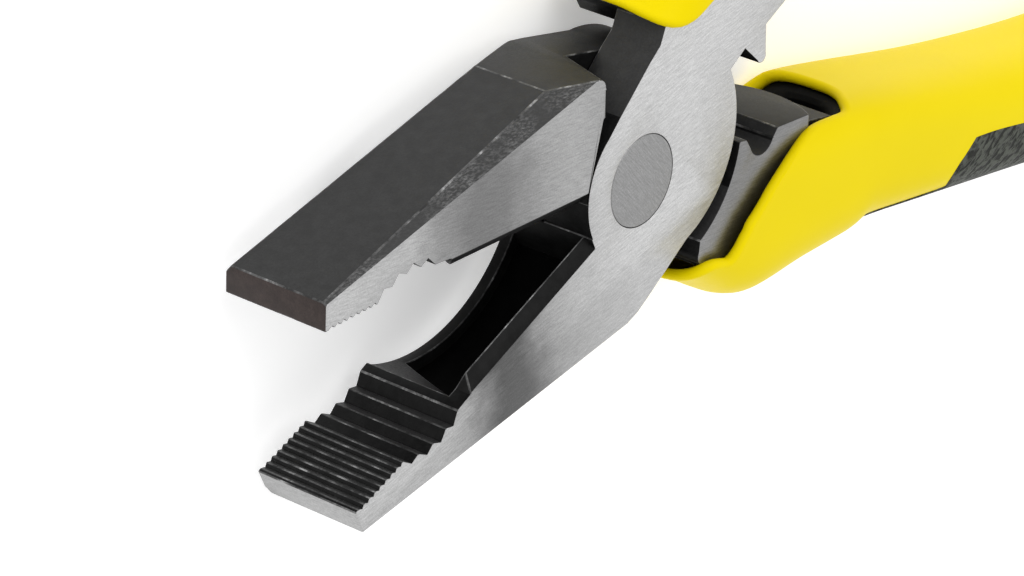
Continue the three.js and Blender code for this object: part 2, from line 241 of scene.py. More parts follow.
def curve_through(points, samples=24):
    """Dense points on a smooth curve through the given ones (Catmull-Rom)."""
    padded = [points[0]] + points + [points[-1]]
    dense = []
    for p0, p1, p2, p3 in zip(padded, padded[1:], padded[2:], padded[3:]):
        for i in range(samples):
            t = i / samples
            dense.append(tuple(
                0.5 * (2 * b + (c - a) * t + (2 * a - 5 * b + 4 * c - d) * t * t
                       + (3 * b - a - 3 * c + d) * t ** 3)
                for a, b, c, d in zip(p0, p1, p2, p3)
            ))
    dense.append(points[-1])
    return dense


def reader(points):
    """Function that reads the second number of a smooth curve at any value of the first."""
    dense = curve_through(points)
    if dense[0][0] > dense[-1][0]:
        dense.reverse()

    def read(x):
        x = min(max(x, dense[0][0]), dense[-1][0])
        for (x0, y0), (x1, y1) in zip(dense, dense[1:]):
            if x <= x1:
                return mix(y0, y1, (x - x0) / (x1 - x0)) if x1 > x0 else y0
        return dense[-1][1]

    return read


def object_from(bm, name):
    """Makes a bmesh into an object of the scene, and frees it."""
    mesh = bpy.data.meshes.new(name)
    bm.to_mesh(mesh)
    bm.free()
    obj = bpy.data.objects.new(name, mesh)
    bpy.context.scene.collection.objects.link(obj)
    return obj


def prism(outline, w0, w1):
    """A flat outline made solid between two heights."""
    bm = bmesh.new()
    low = [bm.verts.new((s, v, w0)) for s, v in outline]
    high = [bm.verts.new((s, v, w1)) for s, v in outline]
    bm.faces.new(low)
    bm.faces.new(high)
    for i in range(len(outline)):
        j = (i + 1) % len(outline)
        bm.faces.new((low[i], low[j], high[j], high[i]))
    bmesh.ops.recalc_face_normals(bm, faces=bm.faces)
    return bm


def loft(low_outline, w0, high_outline, w1):
    """A solid whose outline changes evenly from one height to another."""
    bm = prism(low_outline, w0, w1)
    bm.verts.ensure_lookup_table()
    for vert, (s, v) in zip(bm.verts[len(low_outline):], high_outline):
        vert.co = (s, v, w1)
    return bm


def block(s0, s1, v0, v1):
    """A box between two values of s and of v, thicker than any piece."""
    return prism([(s0, v0), (s1, v0), (s1, v1), (s0, v1)], -THROUGH, THROUGH)


def keep_side(bm, point, normal):
    """Cuts a solid with a plane and keeps the side that the normal points to."""
    geom = bm.verts[:] + bm.edges[:] + bm.faces[:]
    cut = bmesh.ops.bisect_plane(bm, geom=geom, plane_co=point, plane_no=normal, clear_inner=True)
    rim = [e for e in cut["geom_cut"] if isinstance(e, bmesh.types.BMEdge)]
    bmesh.ops.contextual_create(bm, geom=rim)
    bmesh.ops.recalc_face_normals(bm, faces=bm.faces)
    return bm


def boolean(base, tool_bm, operation="DIFFERENCE"):
    """Cuts a tool from an object, or joins it on, and keeps the result as the object's mesh."""
    if tool_bm.calc_volume(signed=True) < 0:
        bmesh.ops.reverse_faces(tool_bm, faces=tool_bm.faces)
    tool = object_from(tool_bm, "tool")
    modifier = base.modifiers.new("boolean", "BOOLEAN")
    modifier.operation = operation
    modifier.solver = "EXACT"
    modifier.object = tool
    depsgraph = bpy.context.evaluated_depsgraph_get()
    result = bpy.data.meshes.new_from_object(base.evaluated_get(depsgraph))
    base.modifiers.clear()
    base.data = result
    bpy.data.objects.remove(tool)
    return base


# ---------- one steel half ----------


def gripping_edge():
    """From the tip back to the cutter: fine ridges, then coarse teeth in a shallow hollow."""
    points = []
    pitch = (FINE_FROM - FINE_TO) / FINE_COUNT
    for i in range(FINE_COUNT):
        s = FINE_FROM - i * pitch
        v = BITE_GAP + FINE_RISE * i / FINE_COUNT
        points.append((s, v))
        points.append((s - pitch * FINE_VALLEY_AT, v + FINE_DEPTH))

    def coarse_peak(i):
        along = i / (COARSE_PEAKS - 1)
        hollow = COARSE_SAG * math.sin(math.pi * along)
        return FINE_TO - i * COARSE_PITCH, BITE_GAP + FINE_RISE + COARSE_RISE * along + hollow

    for i in range(COARSE_PEAKS):
        s, v = coarse_peak(i)
        points.append((s, v))
        if i < COARSE_PEAKS - 1:
            next_v = coarse_peak(i + 1)[1]
            valley = mix(v, next_v, COARSE_VALLEY_AT) + COARSE_DEPTH
            points.append((s - COARSE_PITCH * COARSE_VALLEY_AT, valley))
    return points


def tooth_edge():
    """The crimping tooth, from its front foot to its rear one."""
    root = TOOTH_ROOT / 2
    tip = TOOTH_TIP / 2
    round_top = arc(TOOTH_S, TOOTH_HEIGHT - tip, tip, 0, 180, 18)
    return [(TOOTH_S + root, LAND_V)] + round_top + [(TOOTH_S - root, LAND_V)]


def nest_edge():
    """The nest that the tooth presses into, from front to rear."""
    bottom = arc(NEST_S, LAND_V - NEST_DEPTH + NEST_RADIUS, NEST_RADIUS, -20, -160, 14)
    front, rear = NEST_S + NEST_WIDTH / 2, NEST_S - NEST_WIDTH / 2
    return [(front, LAND_V + NEST_LIP)] + bottom + [(rear, LAND_V)]


def half_outline(crimp_edge):
    """Round one half from the tip: along the jaw's back, the cheek and the block, then back by the boss."""
    return [
        (TIP_S, BITE_GAP),
        (TIP_S, TIP_HEIGHT),
        KINK,
        SHOULDER_TOP,
        SHOULDER_END,
        *arc(CHEEK_S, CHEEK_V, CHEEK_RADIUS, CHEEK_FROM, CHEEK_TO, 40),
        *crimp_edge,
        (BLOCK_END - BLOCK_BULGE, LAND_V - LAND_STEP),
        (BLOCK_END - BLOCK_BULGE, OUTER_SIDE_START),
        *OUTER_SIDE,
        *arc(0, 0, BOSS_RADIUS, BOSS_FROM, 0, 24),
        (KNIFE_FROM, BITE_GAP),
        (KNIFE_TO, BITE_GAP),
        (KNIFE_FOOT, KNIFE_FOOT_V),
        *reversed(gripping_edge()),
    ]


def lap_recess():
    """Room for the other half's plate and boss, below this half's plate."""
    radius = CHEEK_RADIUS + RECESS_CLEARANCE
    boss = BOSS_RADIUS + BOSS_CLEARANCE

    def outline(lean):
        corner_s, corner_v = SHOULDER_CORNER
        return [
            (CHEEK_S - radius, RECESS_TOP),
            *arc(CHEEK_S, -CHEEK_V, radius, 180, 238.5, 30),
            *arc(*REAR_CORNER, RECESS_CORNER, 25, -60, 8),
            *RECESS_FAR_SIDE,
            *arc(0, 0, boss, 0, 10, 4),
            *[(s - lean * share, v) for s, v, share in SHOULDER_WALL],
            *arc(corner_s - lean, corner_v, RECESS_CORNER, 170, 100, 8),
            (SHOULDER_WALL_END - lean, RECESS_TOP),
        ]

    return loft(outline(0), -HALF_THICKNESS - 0.5, outline(SHOULDER_LEAN), LAP_GAP / 2)


def block_rounding():
    """What is left off the block's rear end to round it across the thickness."""
    radius = (HALF_THICKNESS ** 2 + BLOCK_BULGE ** 2) / (2 * BLOCK_BULGE)
    rear = BLOCK_END - BLOCK_BULGE
    reach = HALF_THICKNESS + 1
    side = math.degrees(math.asin(reach / radius))
    in_s_and_w = [(rear - 2, reach), *arc(rear + radius, 0, radius, 180 - side, 180 + side, 28)]
    bm = prism(in_s_and_w + [(rear - 2, -reach)], -THROUGH, 5)
    for vert in bm.verts:
        vert.co = (vert.co.x, vert.co.z, vert.co.y)
    bmesh.ops.recalc_face_normals(bm, faces=bm.faces)
    return bm


def edge_slope(side, tip_edge_v, edge_slant, ridge_w):
    """Ground slope along an outer edge of the jaw, which fades out at the shoulder."""
    on_edge = Vector((TIP_S, tip_edge_v, side * HALF_THICKNESS))
    along = Vector((-1, edge_slant, 0))
    ridge = Vector((KINK[0], KINK[1], side * ridge_w))
    normal = along.cross(ridge - on_edge)
    if normal.y < 0:
        normal.negate()
    return keep_side(block(SLOPES_FROM, 60, 0, 20), on_edge, normal)


def cutter_tools(front_side):
    """What is ground away at the cutter: the outer slope of the blade, then the hollow behind it."""
    start = BOSS_RADIUS + BOSS_CLEARANCE
    blade = Vector((0, BITE_GAP, front_side * KNIFE_W))
    outer = Vector((0, -(HALF_THICKNESS - KNIFE_W), front_side * (KNIFE_RISE - BITE_GAP)))
    inner = Vector((0, -POCKET_RUN, -front_side * POCKET_DROP))
    slope = keep_side(block(start, KNIFE_FOOT, -4, 2), blade, outer)

    def scooped(extra, w0, w1):
        hollow = prism(arc(SCOOP_S, SCOOP_DEPTH - SCOOP_RADIUS, SCOOP_RADIUS + extra, 0, 180, 72), w0, w1)
        behind = keep_side(hollow, blade, inner)
        behind = keep_side(behind, Vector((start, 0, 0)), Vector((1, 0, 0)))
        return keep_side(behind, Vector((SCOOP_END, 0, 0)), Vector((-1, 0, 0)))

    low, high = sorted((-front_side * POCKET_WALL, front_side * THROUGH))
    (far_s, far_w), (near_s, near_w) = POCKET_FRONT
    on_front = Vector((far_s, 0, far_w * front_side))
    rearward = Vector((far_w - near_w, 0, front_side * (near_s - far_s)))
    pocket = keep_side(scooped(POCKET_EXTRA, low, high), on_front, rearward)
    return [slope, scooped(0, -THROUGH, THROUGH), pocket]


def tang():
    """The part of the handle inside the grip. It follows the grip's middle."""
    near, far = [], []
    steps = 16
    for i in range(steps + 1):
        s = mix(TANG_START, TANG_END, i / steps)
        near.append((s, grip_middle(s) + TANG_HALF_WIDTH))
        far.append((s, grip_middle(s) - TANG_HALF_WIDTH))
    return prism(near + far[::-1], -TANG_HALF_THICKNESS, TANG_HALF_THICKNESS)


def rivet_circle(radius):
    return arc(0, 0, radius, 0, 360, RIVET_POINTS)[:-1]


def rivet_hole():
    circle = rivet_circle(RIVET_RADIUS + RIVET_GAP)
    return prism(circle, -THROUGH, THROUGH)


# The finishes of the steel, in the order of a half's materials: the ground faces, the dark inside, the duller
# outer side with painted light, the slopes along it, the cutter's pocket with painted shade, the tip and the
# edges, rubbed bare and with painted highlights.
BRIGHT, BLACK, BACK_LIT, SLOPE, POCKET, TIP, WORN_AND_HIGHLIT = range(7)


def steel_half(name, crimp_edge, front_side):
    """One half. The front side is 1 or -1: the side in w that faces the front once the half is in place."""
    half = object_from(prism(half_outline(crimp_edge), -HALF_THICKNESS, HALF_THICKNESS), name)
    boolean(half, lap_recess())
    boolean(half, block_rounding())
    boolean(half, prism(NECK_OUTLINE, -NECK_HALF_THICKNESS, NECK_HALF_THICKNESS), "UNION")
    boolean(half, tang(), "UNION")
    for tool in cutter_tools(front_side):
        boolean(half, tool)
    boolean(half, edge_slope(front_side, *FACE_SLOPE))
    boolean(half, edge_slope(-front_side, *REAR_SLOPE))
    boolean(half, rivet_hole())
    finish_faces(half)
    return half


def finish_of(face):
    """Which finish a flat face of the steel has, from where it is and which way it faces."""
    normal, middle = face.normal, face.calc_center_median()
    if abs(normal.z) > 0.99 and abs(abs(middle.z) - HALF_THICKNESS) < 0.05:
        return BRIGHT
    if normal.x > 0.99 and middle.x > TIP_S - 0.1:
        return TIP
    from_scoop = math.hypot(middle.x - SCOOP_S, middle.y - (SCOOP_DEPTH - SCOOP_RADIUS))
    # The deeper part of the pocket gets a darker finish: painted shade in the recess.
    if middle.x > BOSS_RADIUS and from_scoop < SCOOP_RADIUS + POCKET_EXTRA + 0.1 and middle.y > 0.2:
        return POCKET if from_scoop > SCOOP_RADIUS + 0.2 else BLACK
    if middle.x > 2 and normal.y > 0.2 and abs(normal.z) > 0.12:
        return SLOPE
    # Outward faces get a lighter copy of the black steel: painted light.
    outward = normal.y > 0.5 or (normal.y < -0.5 and middle.y < -9)
    return BACK_LIT if outward or normal.x < -0.5 and middle.y > 0 else BLACK


def finish_faces(obj):
    """Gives each face its finish, then rounds the outward edges. The dark ones are rubbed bare in places and
    painted lighter as edge highlights.
    """
    bm = bmesh.new()
    bm.from_mesh(obj.data)
    bmesh.ops.remove_doubles(bm, verts=bm.verts, dist=WELD)
    bmesh.ops.dissolve_limit(bm, angle_limit=math.radians(FLAT_EDGE), verts=bm.verts, edges=bm.edges)
    bmesh.ops.recalc_face_normals(bm, faces=bm.faces)
    for face in bm.faces:
        face.material_index = finish_of(face)
    sharp = [
        e for e in bm.edges
        if len(e.link_faces) == 2 and e.is_convex and e.calc_face_angle() > math.radians(SHARP_EDGE)
    ]
    rounded = bmesh.ops.bevel(
        bm, geom=sharp, offset=EDGE_BREAK, segments=2, profile=0.5, affect="EDGES",
        clamp_overlap=False, material=-1, loop_slide=True,
    )
    strips = set(rounded["faces"])

    def neighbours(face):
        return {g for e in face.edges for g in e.link_faces if g is not face}

    touching = {f: {g.material_index for g in neighbours(f) if g not in strips} for f in strips}
    for face in strips:
        beside_bright = any(BRIGHT in touching[g] for g in neighbours(face) if g in strips)
        if BRIGHT in touching[face]:
            face.material_index = BRIGHT
        elif touching[face] and beside_bright:
            face.material_index = min(touching[face])
        # Dark edges: rubbed bare in places, with painted highlights.
        else:
            face.material_index = WORN_AND_HIGHLIT
    bm.to_mesh(obj.data)
    bm.free()


# ---------- one grip ----------

inner_v = reader(INNER_EDGE)
outer_v = reader(OUTER_EDGE)
panel_v = reader(PANEL_EDGE)


def grip_middle(s):
    return (inner_v(s) + outer_v(s)) / 2


def grip_half_width(s):
    return (inner_v(s) - outer_v(s)) / 2


def grip_power(s, toward_inner):
    """Power of the section at s, on the inner side when toward_inner is positive."""
    if toward_inner <= 0:
        return HANDLE_POWER
    return mix(MOUTH_POWER, HANDLE_POWER, ease((s - POWER_FROM) / (POWER_TO - POWER_FROM)))


def soften(x, power=HANDLE_POWER):
    """Turns a circle's sine or cosine into the rounded square's."""
    return math.copysign(abs(x) ** (2 / power), x)


def on_grip(s, angle, inset=0.0, scale=1.0):
    """Point on the grip's surface, or under it by an inset. The angle is in degrees."""
    a = math.radians(angle)
    power = grip_power(s, math.cos(a))
    across = (grip_half_width(s) - inset) * scale * soften(math.cos(a), power)
    up = (GRIP_HALF_THICKNESS - inset) * scale * soften(math.sin(a), power)
    return Vector((s, grip_middle(s) + across, up))


def even_samples(rim_points, count):
    """A curve of (angle, s) points, evenly spaced along its real length on the grip."""
    dense = curve_through(rim_points)
    places = [on_grip(s, a) for a, s in dense]
    run = [0.0]
    for p, q in zip(places, places[1:]):
        run.append(run[-1] + (q - p).length)
    even, k = [], 0
    for i in range(count + 1):
        target = run[-1] * i / count
        while k < len(run) - 2 and run[k + 1] < target:
            k += 1
        t = (target - run[k]) / (run[k + 1] - run[k])
        even.append((mix(dense[k][0], dense[k + 1][0], t), mix(dense[k][1], dense[k + 1][1], t)))
    return even


def rim_samples():
    """The whole rim, from the inner side over the plate's face and back past the block's face."""
    plate_side = even_samples(PLATE_SIDE_RIM, AROUND // 2)
    block_side = even_samples(BLOCK_SIDE_RIM, AROUND // 2)
    return plate_side + [(360 - a, s) for a, s in block_side[-2:0:-1]]


def skin(rings, closed_round=True):
    """Faces between rings of points, each ring joined to the next."""
    bm = bmesh.new()
    made = [[bm.verts.new(p) for p in ring] for ring in rings]
    count = len(rings[0])
    last = count if closed_round else count - 1
    for ring, following in zip(made, made[1:]):
        for i in range(last):
            j = (i + 1) % count
            bm.faces.new((ring[i], ring[j], following[j], following[i]))
    return bm


def lip(outer, inner, forward, steps):
    """Half-round rings from an outer ring to an inner one, bulging forward."""
    rings = []
    for k in range(1, steps):
        turn = math.pi * k / steps
        ring = []
        for p, q, ahead in zip(outer, inner, forward):
            bulge = (p - q).length / 2 * math.sin(turn)
            ring.append(p.lerp(q, (1 - math.cos(turn)) / 2) + ahead * bulge)
        rings.append(ring)
    return rings


def toward_mouth(outer, inner):
    """For each point of the rim, the direction square to the rim that points into the mouth."""
    ahead = []
    for i, (p, q) in enumerate(zip(outer, inner)):
        along = outer[(i + 1) % len(outer)] - outer[i - 1]
        ahead.append((p - q).cross(along).normalized())
    sign = math.copysign(1.0, ahead[len(ahead) // 2].x)
    return [direction * sign for direction in ahead]


def grip_shell(name):
    """The yellow layer: rows that start along the rim and turn square, the domed end, and a rounded lip."""
    rim = rim_samples()
    front_rows, middle_rows, dome_rows, lip_rows, inside_rows = 40, 44, 10, 8, 5
    crowding = 1.3  # above 1, the rows lie closer together near the rim
    inside_step = 1 / 14
    dome_start = GRIP_END + GRIP_DOME

    def front_ring(t, inset=0.0):
        return [
            on_grip(mix(s, RIM_BLEND_END, t), mix(a, 360 * i / AROUND, ease(t)), inset)
            for i, (a, s) in enumerate(rim)
        ]

    outside = [front_ring((i / front_rows) ** crowding) for i in range(front_rows)]
    for i in range(middle_rows):
        s = mix(RIM_BLEND_END, dome_start, i / middle_rows)
        outside.append([on_grip(s, 360 * j / AROUND) for j in range(AROUND)])
    for i in range(dome_rows):
        turn = math.pi / 2 * i / dome_rows
        s = dome_start - GRIP_DOME * soften(math.sin(turn))
        outside.append([on_grip(s, 360 * j / AROUND, 0.0, soften(math.cos(turn))) for j in range(AROUND)])

    inside = [front_ring(i * inside_step, GRIP_WALL) for i in range(inside_rows)]
    rounded = lip(outside[0], inside[0], toward_mouth(outside[0], inside[0]), lip_rows)
    bm = skin(outside[::-1] + rounded + inside)
    bm.verts.ensure_lookup_table()
    tail = bm.verts.new(on_grip(GRIP_END, 0, 0.0, 0.0))
    end_ring = bm.verts[:AROUND]
    for i in range(AROUND):
        bm.faces.new((end_ring[(i + 1) % AROUND], end_ring[i], tail))
    bmesh.ops.recalc_face_normals(bm, faces=bm.faces)
    return object_from(bm, name)


def liner_rings():
    """The dark layer just inside the mouth, open behind where it is out of sight."""
    rim = rim_samples()
    depths = (6, 3, 0.3)
    lip_rows = 6

    def ring(inset, back):
        return [on_grip(min(s - LINER_SETBACK, LINER_FRONT) - back, a, inset) for a, s in rim]

    outer = [ring(GRIP_WALL + LINER_GAP, back) for back in depths]
    inner = [ring(GRIP_WALL + LINER_THICKNESS, back) for back in reversed(depths)]
    forward = [Vector((1, 0, 0))] * len(rim)
    return outer + lip(outer[-1], inner[0], forward, lip_rows) + inner


def panel_start(place):
    """Where the textured panel starts: slanting on the faces, and further forward on the outer side."""
    on_face = PANEL_CORNER[0] + PANEL_SLANT * (PANEL_CORNER[1] - place.y)
    on_face -= PANEL_TURN_SLANT * max(0.0, PANEL_TURN_W - abs(place.z))
    return mix(PANEL_STRIP_FRONT, on_face, ease((abs(place.z) - PANEL_STRIP_W) / PANEL_STRIP_BLEND))


def panel_rings():
    """The textured panel, standing a little proud of the yellow, with its edges turned down into it."""
    lengthwise, across = 90, 56
    crowding = 0.4  # how far the rows are drawn towards the panel's two long edges
    edge_share = 0.2  # how proud the edges stand, as a share of the rest

    def edge_angle(s):
        x = (panel_v(s) - grip_middle(s)) / grip_half_width(s)
        return math.degrees(math.acos(math.copysign(abs(x) ** (grip_power(s, x) / 2), x)))

    def place(i, j, lift):
        b = j / across
        b = mix(b, 0.5 - 0.5 * math.cos(math.pi * b), crowding)
        corner = PANEL_CORNER[0]
        start = panel_start(on_grip(corner, mix(edge_angle(corner), 360 - edge_angle(corner), b)))
        s = mix(start, PANEL_REAR, i / lengthwise)
        return on_grip(s, mix(edge_angle(s), 360 - edge_angle(s), b), -lift)

    rings = []
    for i in range(lengthwise + 1):
        at_end = i == 0 or i == lengthwise
        shares = [edge_share if at_end or j in (0, across) else 1.0 for j in range(across + 1)]
        lifts = [PANEL_PROUD * share for share in shares]
        ring = [place(i, j, lift) for j, lift in enumerate(lifts)]
        rings.append([place(i, 0, -PANEL_SUNK)] + ring + [place(i, across, -PANEL_SUNK)])

    def sunk_end(i):
        ring = [place(i, j, -PANEL_SUNK) for j in range(across + 1)]
        return [ring[0]] + ring + [ring[-1]]

    return [sunk_end(0)] + rings + [sunk_end(lengthwise)]


# The grip core's two materials, in order.
LINER, PANEL = 0, 1


def grip_core(name):
    """The dark layer that shows: the liner and the textured panel, as one mesh with two materials."""
    core = object_from(skin(liner_rings()), name)
    bm = bmesh.new()
    bm.from_mesh(core.data)
    for face in bm.faces:
        face.material_index = LINER
    panel = object_from(skin(panel_rings(), closed_round=False), "panel")
    bm.from_mesh(panel.data)
    for face in bm.faces[len(core.data.polygons):]:
        face.material_index = PANEL
    bmesh.ops.remove_doubles(bm, verts=bm.verts, dist=0.001)
    bmesh.ops.recalc_face_normals(bm, faces=bm.faces)
    bm.to_mesh(core.data)
    bm.free()
    bpy.data.objects.remove(panel)
    return core


def rivet(name):
    """Flush rivet with a soft edge on both faces."""
    edge = [(RIVET_RADIUS - inward, HALF_THICKNESS - down) for inward, down in RIVET_EDGE]
    rings = []
    for radius, w in edge + [(radius, -w) for radius, w in reversed(edge)]:
        rings.append([Vector((s, v, w)) for s, v in rivet_circle(radius)])
    bm = skin(rings)
    bm.verts.ensure_lookup_table()
    bm.faces.new(bm.verts[:RIVET_POINTS])
    bm.faces.new(bm.verts[-RIVET_POINTS:])
    bmesh.ops.recalc_face_normals(bm, faces=bm.faces)
    return object_from(bm, name)


# ---------- materials ----------


class Nodes:
    """A material and short ways to add nodes to it."""

    def __init__(self, name):
        self.material = bpy.data.materials.new(name)
        self.material.use_nodes = True
        self.tree = self.material.node_tree
        self.shader = self.tree.nodes["Principled BSDF"]

    def add(self, kind, **values):
        node = self.tree.nodes.new(kind)
        for key, value in values.items():
            if key in node.inputs:
                node.inputs[key].default_value = value
            else:
                setattr(node, key, value)
        return node

    def link(self, a, b):
        self.tree.links.new(a, b)

    def coords(self, scale=(1, 1, 1), rotation=(0, 0, 0)):
        """Object coordinates in millimetres, turned and then stretched."""
        source = self.add("ShaderNodeTexCoord")
        turned = self.add("ShaderNodeMapping", vector_type="POINT")
        turned.inputs["Rotation"].default_value = [math.radians(r) for r in rotation]
        turned.inputs["Scale"].default_value = [1000] * 3
        self.link(source.outputs["Object"], turned.inputs["Vector"])
        stretched = self.add("ShaderNodeMapping", vector_type="POINT")
        stretched.inputs["Scale"].default_value = scale
        self.link(turned.outputs["Vector"], stretched.inputs["Vector"])
        return stretched.outputs["Vector"]

    def noise(self, vector, scale, detail=4.0, roughness=0.6):
        node = self.add("ShaderNodeTexNoise", Scale=scale, Detail=detail, Roughness=roughness)
        self.link(vector, node.inputs["Vector"])
        return node.outputs["Fac"]

    def ramp(self, value, stops):
        node = self.add("ShaderNodeValToRGB")
        elements = node.color_ramp.elements
        while len(elements) < len(stops):
            elements.new(0.5)
        for element, (position, colour) in zip(elements, stops):
            element.position = position
            element.color = (*colour, 1.0) if len(colour) == 3 else colour
        self.link(value, node.inputs["Fac"])
        return node.outputs["Color"]

    def mix(self, factor, a, b, blend="MIX"):
        """Mixes two colours. A Mix node's colours are its inputs 6 and 7 and its output 2."""
        node = self.add("ShaderNodeMix", data_type="RGBA", blend_type=blend)
        for socket, value in ((node.inputs[0], factor), (node.inputs[6], a), (node.inputs[7], b)):
            if isinstance(value, bpy.types.NodeSocket):
                self.link(value, socket)
            elif isinstance(value, (tuple, list)):
                socket.default_value = (*value, 1.0)
            else:
                socket.default_value = value
        return node.outputs[2]

    def bump(self, height, strength, distance):
        node = self.add("ShaderNodeBump", Strength=strength, Distance=distance)
        self.link(height, node.inputs["Height"])
        return node.outputs["Normal"]


def grey(value):
    return (value, value, value)


def even_tone(value):
    """Tones for ground_steel that are the same all along."""
    return [(-TONES_REACH, value), (TONES_REACH, value)]


def ground_steel(name, tones_and_reflection, direction, roughness):
    """Bright steel ground in one direction. Its list of tones says how light it is at each x, in millimetres:
    the steel's own tone, with painted reflection where the list holds it.
    """
    n = Nodes(name)
    place = n.coords()
    streaks = n.noise(n.coords(scale=(0.45, 4.5, 1.0), rotation=(0, 0, -direction)), 1.3, 5.0, 0.65)
    clouds = n.noise(place, 0.22, 3.0)
    speckle = n.noise(place, 5.0, 2.0, 0.8)
    axes = n.add("ShaderNodeSeparateXYZ")
    n.link(place, axes.inputs[0])
    wander = n.add("ShaderNodeMath", operation="MULTIPLY_ADD")
    n.link(clouds, wander.inputs[0])
    wander.inputs[1].default_value = TONES_WANDER
    n.link(axes.outputs["X"], wander.inputs[2])
    along = n.add("ShaderNodeMapRange")
    n.link(wander.outputs[0], along.inputs["Value"])
    along.inputs["From Min"].default_value = TONES_WANDER / 2 - TONES_REACH
    along.inputs["From Max"].default_value = TONES_WANDER / 2 + TONES_REACH
    # lightness along x, which for the jaws' faces holds a painted reflection band
    stops = [((x + TONES_REACH) / (2 * TONES_REACH), grey(value)) for x, value in tones_and_reflection]
    tone = n.ramp(along.outputs["Result"], stops)
    shade = n.ramp(streaks, [(0.32, grey(0.74)), (0.68, grey(1.1))])
    grains = n.ramp(speckle, [(0.32, grey(0.82)), (0.68, grey(1.1))])
    brushed = n.mix(1.0, tone, shade, "MULTIPLY")
    n.link(n.mix(1.0, brushed, grains, "MULTIPLY"), n.shader.inputs["Base Color"])
    n.shader.inputs["Metallic"].default_value = 0.95
    rough = n.ramp(streaks, [(0.25, grey(roughness - 0.06)), (0.75, grey(roughness + 0.08))])
    n.link(rough, n.shader.inputs["Roughness"])
    n.link(n.bump(streaks, 0.3, 0.00003), n.shader.inputs["Normal"])
    return n.material


def oxide_steel(name, base, patch, roughness, gloss=0.3, tint=(1.0, 1.0, 1.0)):
    """Blackened steel: a dull dark skin with a fine even grain and a few pale pin-points."""
    n = Nodes(name)
    place = n.coords()
    mottle = n.noise(place, 0.7, 4.0)
    grain = n.noise(place, 4.0, 3.0, 0.8)
    dark = tuple(base * c for c in tint)
    light = tuple(patch * c for c in tint)
    tone = n.ramp(mottle, [(0.35, dark), (0.7, light)])
    grains = n.ramp(grain, [(0.3, grey(0.72)), (0.7, grey(1.3))])
    spots = n.ramp(n.noise(place, 2.6, 2.0), [(0.7, grey(0.0)), (0.78, grey(0.3))])
    speckled = n.mix(1.0, tone, grains, "MULTIPLY")
    n.link(n.mix(spots, speckled, grey(patch * 2)), n.shader.inputs["Base Color"])
    n.shader.inputs["Metallic"].default_value = 0.1
    n.shader.inputs["Specular IOR Level"].default_value = gloss
    rough = n.ramp(grain, [(0.3, grey(roughness - 0.05)), (0.7, grey(roughness + 0.1))])
    n.link(rough, n.shader.inputs["Roughness"])
    n.link(n.bump(grain, 0.35, 0.00004), n.shader.inputs["Normal"])
    return n.material


def scraped_steel(name, direction):
    """Blackened slope with pale lengthwise strokes of the grinding wheel."""
    n = Nodes(name)
    streaks = n.noise(n.coords(scale=(0.16, 3.6, 3.6), rotation=(0, 0, -direction)), 1.2, 4.0, 0.7)
    patches = n.noise(n.coords(scale=(0.6, 1.0, 1.0)), 0.22, 3.0)
    bare = n.mix(1.0, n.ramp(streaks, [(0.45, grey(0.0)), (0.68, grey(1.0))]),
                 n.ramp(patches, [(0.42, grey(0.1)), (0.6, grey(1.0))]), "MULTIPLY")
    n.link(n.mix(bare, grey(0.03), grey(0.15)), n.shader.inputs["Base Color"])
    n.shader.inputs["Metallic"].default_value = 0.3
    n.shader.inputs["Specular IOR Level"].default_value = 0.35
    n.link(n.ramp(streaks, [(0.3, grey(0.5)), (0.7, grey(0.38))]), n.shader.inputs["Roughness"])
    n.link(n.bump(streaks, 0.3, 0.00003), n.shader.inputs["Normal"])
    return n.material


def worn_and_highlit_steel(name):
    """Edges rubbed bare in places, and painted lighter as edge highlights."""
    n = Nodes(name)
    rub = n.noise(n.coords(), 0.5, 5.0, 0.7)
    n.link(n.ramp(rub, [(0.4, grey(0.02)), (0.56, grey(0.1)), (0.68, grey(0.34))]),
           n.shader.inputs["Base Color"])
    n.shader.inputs["Metallic"].default_value = 0.6
    n.link(n.ramp(rub, [(0.3, grey(0.5)), (0.7, grey(0.34))]), n.shader.inputs["Roughness"])
    return n.material


def moulded_yellow(name):
    """Satin plastic with a faint broad change of tone."""
    n = Nodes(name)
    broad = n.noise(n.coords(), 0.05, 2.0)
    fine = n.noise(n.coords(), 5.0, 3.0)
    tone = n.ramp(broad, [(0.3, (0.765, 0.605, 0.0)), (0.7, (0.795, 0.63, 0.0))])
    n.link(tone, n.shader.inputs["Base Color"])
    n.link(n.ramp(fine, [(0.3, grey(0.36)), (0.7, grey(0.44))]), n.shader.inputs["Roughness"])
    n.shader.inputs["Specular IOR Level"].default_value = 0.05
    n.link(n.bump(fine, 0.12, 0.00003), n.shader.inputs["Normal"])
    return n.material


